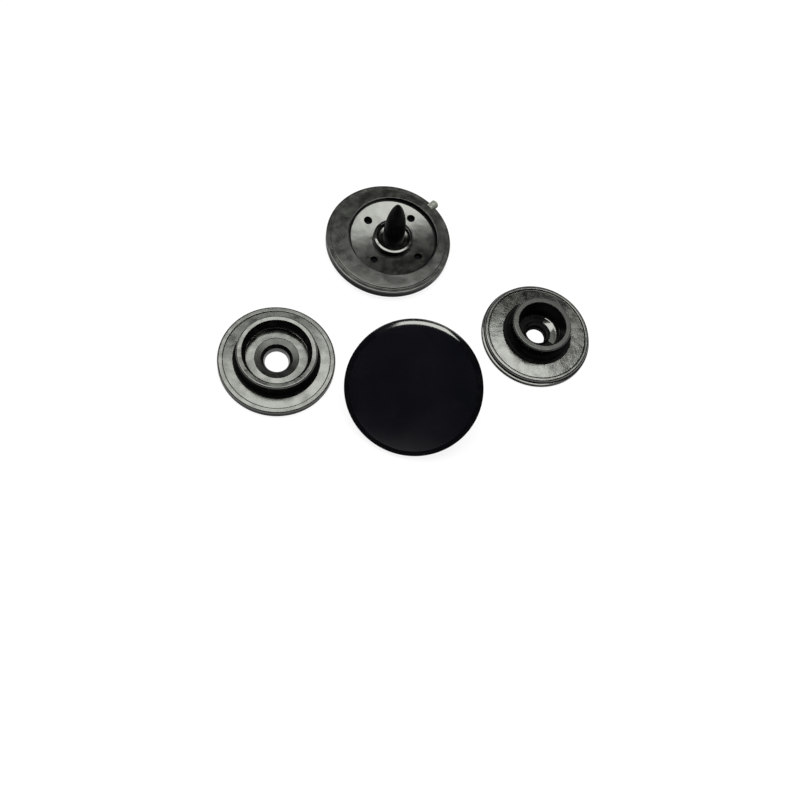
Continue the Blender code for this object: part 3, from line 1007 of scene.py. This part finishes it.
@dataclass
class Socket(Moulding):
    """The socket: flange with a bead, cup with its snap bead, flat floor with a shallow dish, and hole."""

    node: str = "socket"
    radius: float = 5.42 * MM  # radius of the flange
    land: float = 0.79 * MM  # height of the flange inside its bead
    bead_height: float = 0.08 * MM
    bead_width: float = 0.52 * MM
    snap_radius: float = 2.82 * MM  # radius inside the snap bead
    snap_depth: float = 0.8 * MM  # depth of the snap bead below the rim
    rim_inset: float = 0.36 * MM  # how far the rim stands back from the snap bead
    rim_wall: float = 0.5 * MM  # width of the cup's rim
    funnel: float = 0.04 * MM  # how much the rim falls inwards
    draft: float = 0.08 * MM  # how much the cup widens to its foot
    crown: float = 0.04 * MM  # how much higher the flange is at the cup than at its bead
    twist: float = 4.5  # warp of the flange, as height for each product of x and y
    warped: tuple[float, float] = (3.95 * MM, 4.89 * MM)  # radii between which the flange is warped
    height: float = 2.46 * MM  # height of the cup
    undercut: float = 0.26 * MM  # how far the wall stands back below the snap bead
    floor: float = 1.03 * MM  # height of the flat floor inside the cup
    dish_radius: float = 2.0 * MM  # radius of the shallow dish in the floor
    dish_depth: float = 0.19 * MM  # depth of the dish at the countersink
    hole: float = 1.082 * MM  # radius of the hole at the back
    throat_height: float = 0.3 * MM  # height of the throat, where the countersink begins
    throat_widening: float = 0.12 * MM  # widening of the hole up to the throat
    sink_widening: float = 0.25 * MM  # widening of the countersink up to the dish
    sink_height: float = 0.24 * MM  # height of its steep part
    dish_slope: float = 0.02 * MM  # how much the dish narrows at its edge
    turning: Turning = field(default_factory=lambda: Turning(sides=360))

    def materials(self) -> list[bpy.types.Material]:
        """Finishes of the socket, in the order of Skin; its satin is the mottled one.

        Returns:
            The materials.
        """
        made = super().materials()
        made[Skin.SATIN.value] = MOTTLED.material()
        return made

    def section(self) -> list[Corner]:
        """Corners of the closed section, from the back's outer edge over the flange and cup to the hole.

        Returns:
            The corners.
        """
        crest = self.land + self.bead_height
        bead = self.radius - self.bead_width
        rim_inner = self.snap_radius + self.rim_inset
        cup = rim_inner + self.rim_wall
        snap = self.height - self.snap_depth
        wall = self.snap_radius + self.undercut
        throat = self.hole + self.throat_widening
        sink = throat + self.sink_widening
        return [
            Corner(self.radius, 0.0, BACK_ROUND, Skin.WALL),
            Corner(self.radius, crest, BEAD_ROUND),
            Corner(bead + SOFT, crest, SOFT),
            Corner(bead, self.land, FINE),
            Corner(cup + self.draft, self.land + self.crown, fillet=0.3 * MM, skin=Skin.WALL),
            Corner(cup, self.height, fillet=0.16 * MM),
            Corner(rim_inner, self.height - self.funnel, SOFT, Skin.WALL),
            Corner(self.snap_radius, snap, fillet=0.14 * MM, skin=Skin.WALL),
            Corner(wall, snap - self.undercut, SOFT, Skin.WALL),
            Corner(wall, self.floor, fillet=0.15 * MM),
            Corner(self.dish_radius + SOFT, self.floor, KEEN, Skin.WALL),
            Corner(self.dish_radius + self.dish_slope, self.floor - CRISP, KEEN, Skin.MATTE),
            Corner(sink, self.floor - self.dish_depth, fillet=0.08 * MM, skin=Skin.WALL),
            Corner(throat, self.throat_height + self.sink_height, SOFT),
            Corner(self.hole, HOLE_CHAMFER, CRISP, Skin.WALL),
            Corner(self.hole + HOLE_CHAMFER, 0.0, CRISP, Skin.WALL),
        ]

    def build(self) -> bpy.types.Object:
        """Builds the socket, back down.

        Returns:
            The socket at its own zero.
        """
        grid = self.turning.trace(self.section(), closed=True)
        land = grid.rows(*self.warped, self.land - MICRON, self.land + SOFT)
        grid.z += land * self.twist * grid.x * grid.y
        return self.turning.mesh("socket_moulding", grid, True, self.materials())


@dataclass
class Studio:
    """Floor, sky, softbox and camera."""

    floor_radius: float = 3.0
    floor_sides: int = 96
    floor_colour: Colour = (0.8, 0.8, 0.8)  # colour of the floor where it is lit as it lies
    floor_white: float = 1.04  # level of the floor as it is seen, before shadow
    floor_glow: float = 0.88  # part of that level that shadow doesn't take away
    sky: float = 0.015  # brightness of the sky overhead
    horizon: float = 1.0  # brightness of the backdrop round the horizon
    backdrop_top: float = math.radians(14)  # elevation where the backdrop begins to fade
    sky_bottom: float = math.radians(30)  # elevation where it has faded to the sky
    softbox_place: tuple[float, float, float] = (-0.055, 0.156, 0.9)
    softbox_size: tuple[float, float] = (0.82, 0.58)  # width and depth of the softbox
    softbox_power: float = 10.9  # power of the softbox, in watts
    softbox_colour: Colour = (0.97, 1.0, 0.92)
    centre: Vector = field(default_factory=Vector)  # middle of the tipped cap, on the table
    # Where the camera stands, counted from the centre.
    camera_reach: Vector = field(default_factory=lambda: Vector((-11.29, -31.84, 76.28)) * MM)
    # Point on the table that it looks at, counted from the centre.
    camera_aim: Vector = field(default_factory=lambda: Vector((-0.731, 0.276, 0.0)) * MM)
    camera_roll: float = math.radians(19.78)
    lens: float = 40.25  # focal length, in millimetres
    sensor: float = 36.0  # width of the sensor, in millimetres
    sight: tuple[float, float] = (1.0 * MM, 10.0)  # nearest and farthest distance that the camera sees

    def build(self) -> None:
        """Sets up the whole studio."""
        self._floor()
        self._sky()
        self._softbox()
        self._camera()
        bpy.context.scene.view_settings.view_transform = "Standard"

    def _floor(self) -> None:
        """Lays the white floor, which keeps a soft part of each shadow."""
        outline = {"vertices": self.floor_sides, "radius": self.floor_radius}
        bpy.ops.mesh.primitive_circle_add(fill_type="NGON", **outline)
        floor = bpy.context.active_object
        floor.name = "floor"
        material = bpy.data.materials.new("white_floor")
        material.use_nodes = True
        material.node_tree.nodes.clear()
        tree = Tree(material.node_tree)
        share = self.floor_white - self.floor_glow
        plain = tree.add("ShaderNodeBsdfDiffuse", {"Color": (*self.floor_colour, 1.0)})
        shaded = tree.add("ShaderNodeBsdfDiffuse", {"Color": (share, share, share, 1.0)})
        glow = tree.add("ShaderNodeEmission", {"Strength": self.floor_glow})
        lit = tree.add("ShaderNodeAddShader", {0: shaded.outputs[0], 1: glow.outputs[0]})
        tree.add("ShaderNodeOutputMaterial", {"Surface": tree.seen(lit, plain)})
        floor.data.materials.append(material)

    def _sky(self) -> None:
        """Makes a dim sky over a backdrop round the horizon, white to the camera and in reflections."""
        world = bpy.data.worlds.new("studio")
        world.use_nodes = True
        tree = Tree(world.node_tree)
        direction = tree.add("ShaderNodeTexCoord", {}).outputs["Generated"]
        ramp = {
            "Value": tree.add("ShaderNodeSeparateXYZ", {"Vector": direction}).outputs["Z"],
            "From Min": math.sin(self.backdrop_top),
            "From Max": math.sin(self.sky_bottom),
            "To Min": self.horizon,
            "To Max": self.sky,
        }
        strength = tree.add("ShaderNodeMapRange", ramp, interpolation_type="SMOOTHSTEP").outputs["Result"]
        backdrop = tree.add("ShaderNodeBackground", {"Color": (1.0, 1.0, 1.0, 1.0), "Strength": strength})
        dim = world.node_tree.nodes["Background"]
        tree.fill(dim, {"Strength": strength})
        output = world.node_tree.nodes["World Output"]
        tree.fill(output, {"Surface": tree.seen(backdrop, dim)})
        bpy.context.scene.world = world

    def _softbox(self) -> None:
        """Hangs the one big softbox above and behind the pieces."""
        lamp = bpy.data.lights.new("softbox", "AREA")
        lamp.shape = "RECTANGLE"
        lamp.size, lamp.size_y = self.softbox_size
        lamp.energy = self.softbox_power
        lamp.color = self.softbox_colour
        stand = bpy.data.objects.new("softbox", lamp)
        bpy.context.scene.collection.objects.link(stand)
        up = Vector(self.softbox_place).normalized()
        across = Vector((0.0, 1.0, 0.0)).cross(up).normalized()
        stand.matrix_world = Matrix.Translation(self.softbox_place) @ Matrix(
            (across, up.cross(across), up)
        ).transposed().to_4x4()

    def _camera(self) -> None:
        """Stands the camera where the photograph was taken from."""
        data = bpy.data.cameras.new("camera")
        data.sensor_width = self.sensor
        data.lens = self.lens
        data.clip_start, data.clip_end = self.sight
        camera = bpy.data.objects.new("camera", data)
        bpy.context.scene.collection.objects.link(camera)
        camera.location = self.centre + self.camera_reach
        look = self.camera_aim - self.camera_reach
        camera.rotation_mode = "QUATERNION"
        roll = Quaternion((0.0, 0.0, 1.0), self.camera_roll)
        camera.rotation_quaternion = look.to_track_quat("-Z", "Y") @ roll
        bpy.context.scene.camera = camera


def main() -> None:
    """Builds the studio and the four pieces."""
    logging.basicConfig(level=logging.INFO, format="%(message)s")
    layout = Layout()
    face_up = Cap(node="cap_face_up", slot=Slot.GLOSS)
    spike_up = Cap(node="cap_spike_up", gated=True, lean=(-0.15 * MM, 0.13 * MM))
    stud = Stud()
    socket = Socket()
    anchor = layout.anchor(face_up.radius, stud.radius)
    Studio(centre=anchor).build()
    places = [(face_up, face_up.tipped(layout.tipped_bearing))]
    for moulding, spot in ((spike_up, layout.spike_up), (stud, layout.stud), (socket, layout.socket)):
        places.append((moulding, spot.placing(face_up.radius, moulding.radius)))
    for moulding, place in places:
        piece = moulding.install(moulding.build(), Matrix.Translation(anchor) @ place)
        triangles = sum(len(polygon.vertices) - 2 for polygon in piece.data.polygons)
        LOG.info("%s: %d triangles", piece.name, triangles)


if __name__ == "__main__":
    main()
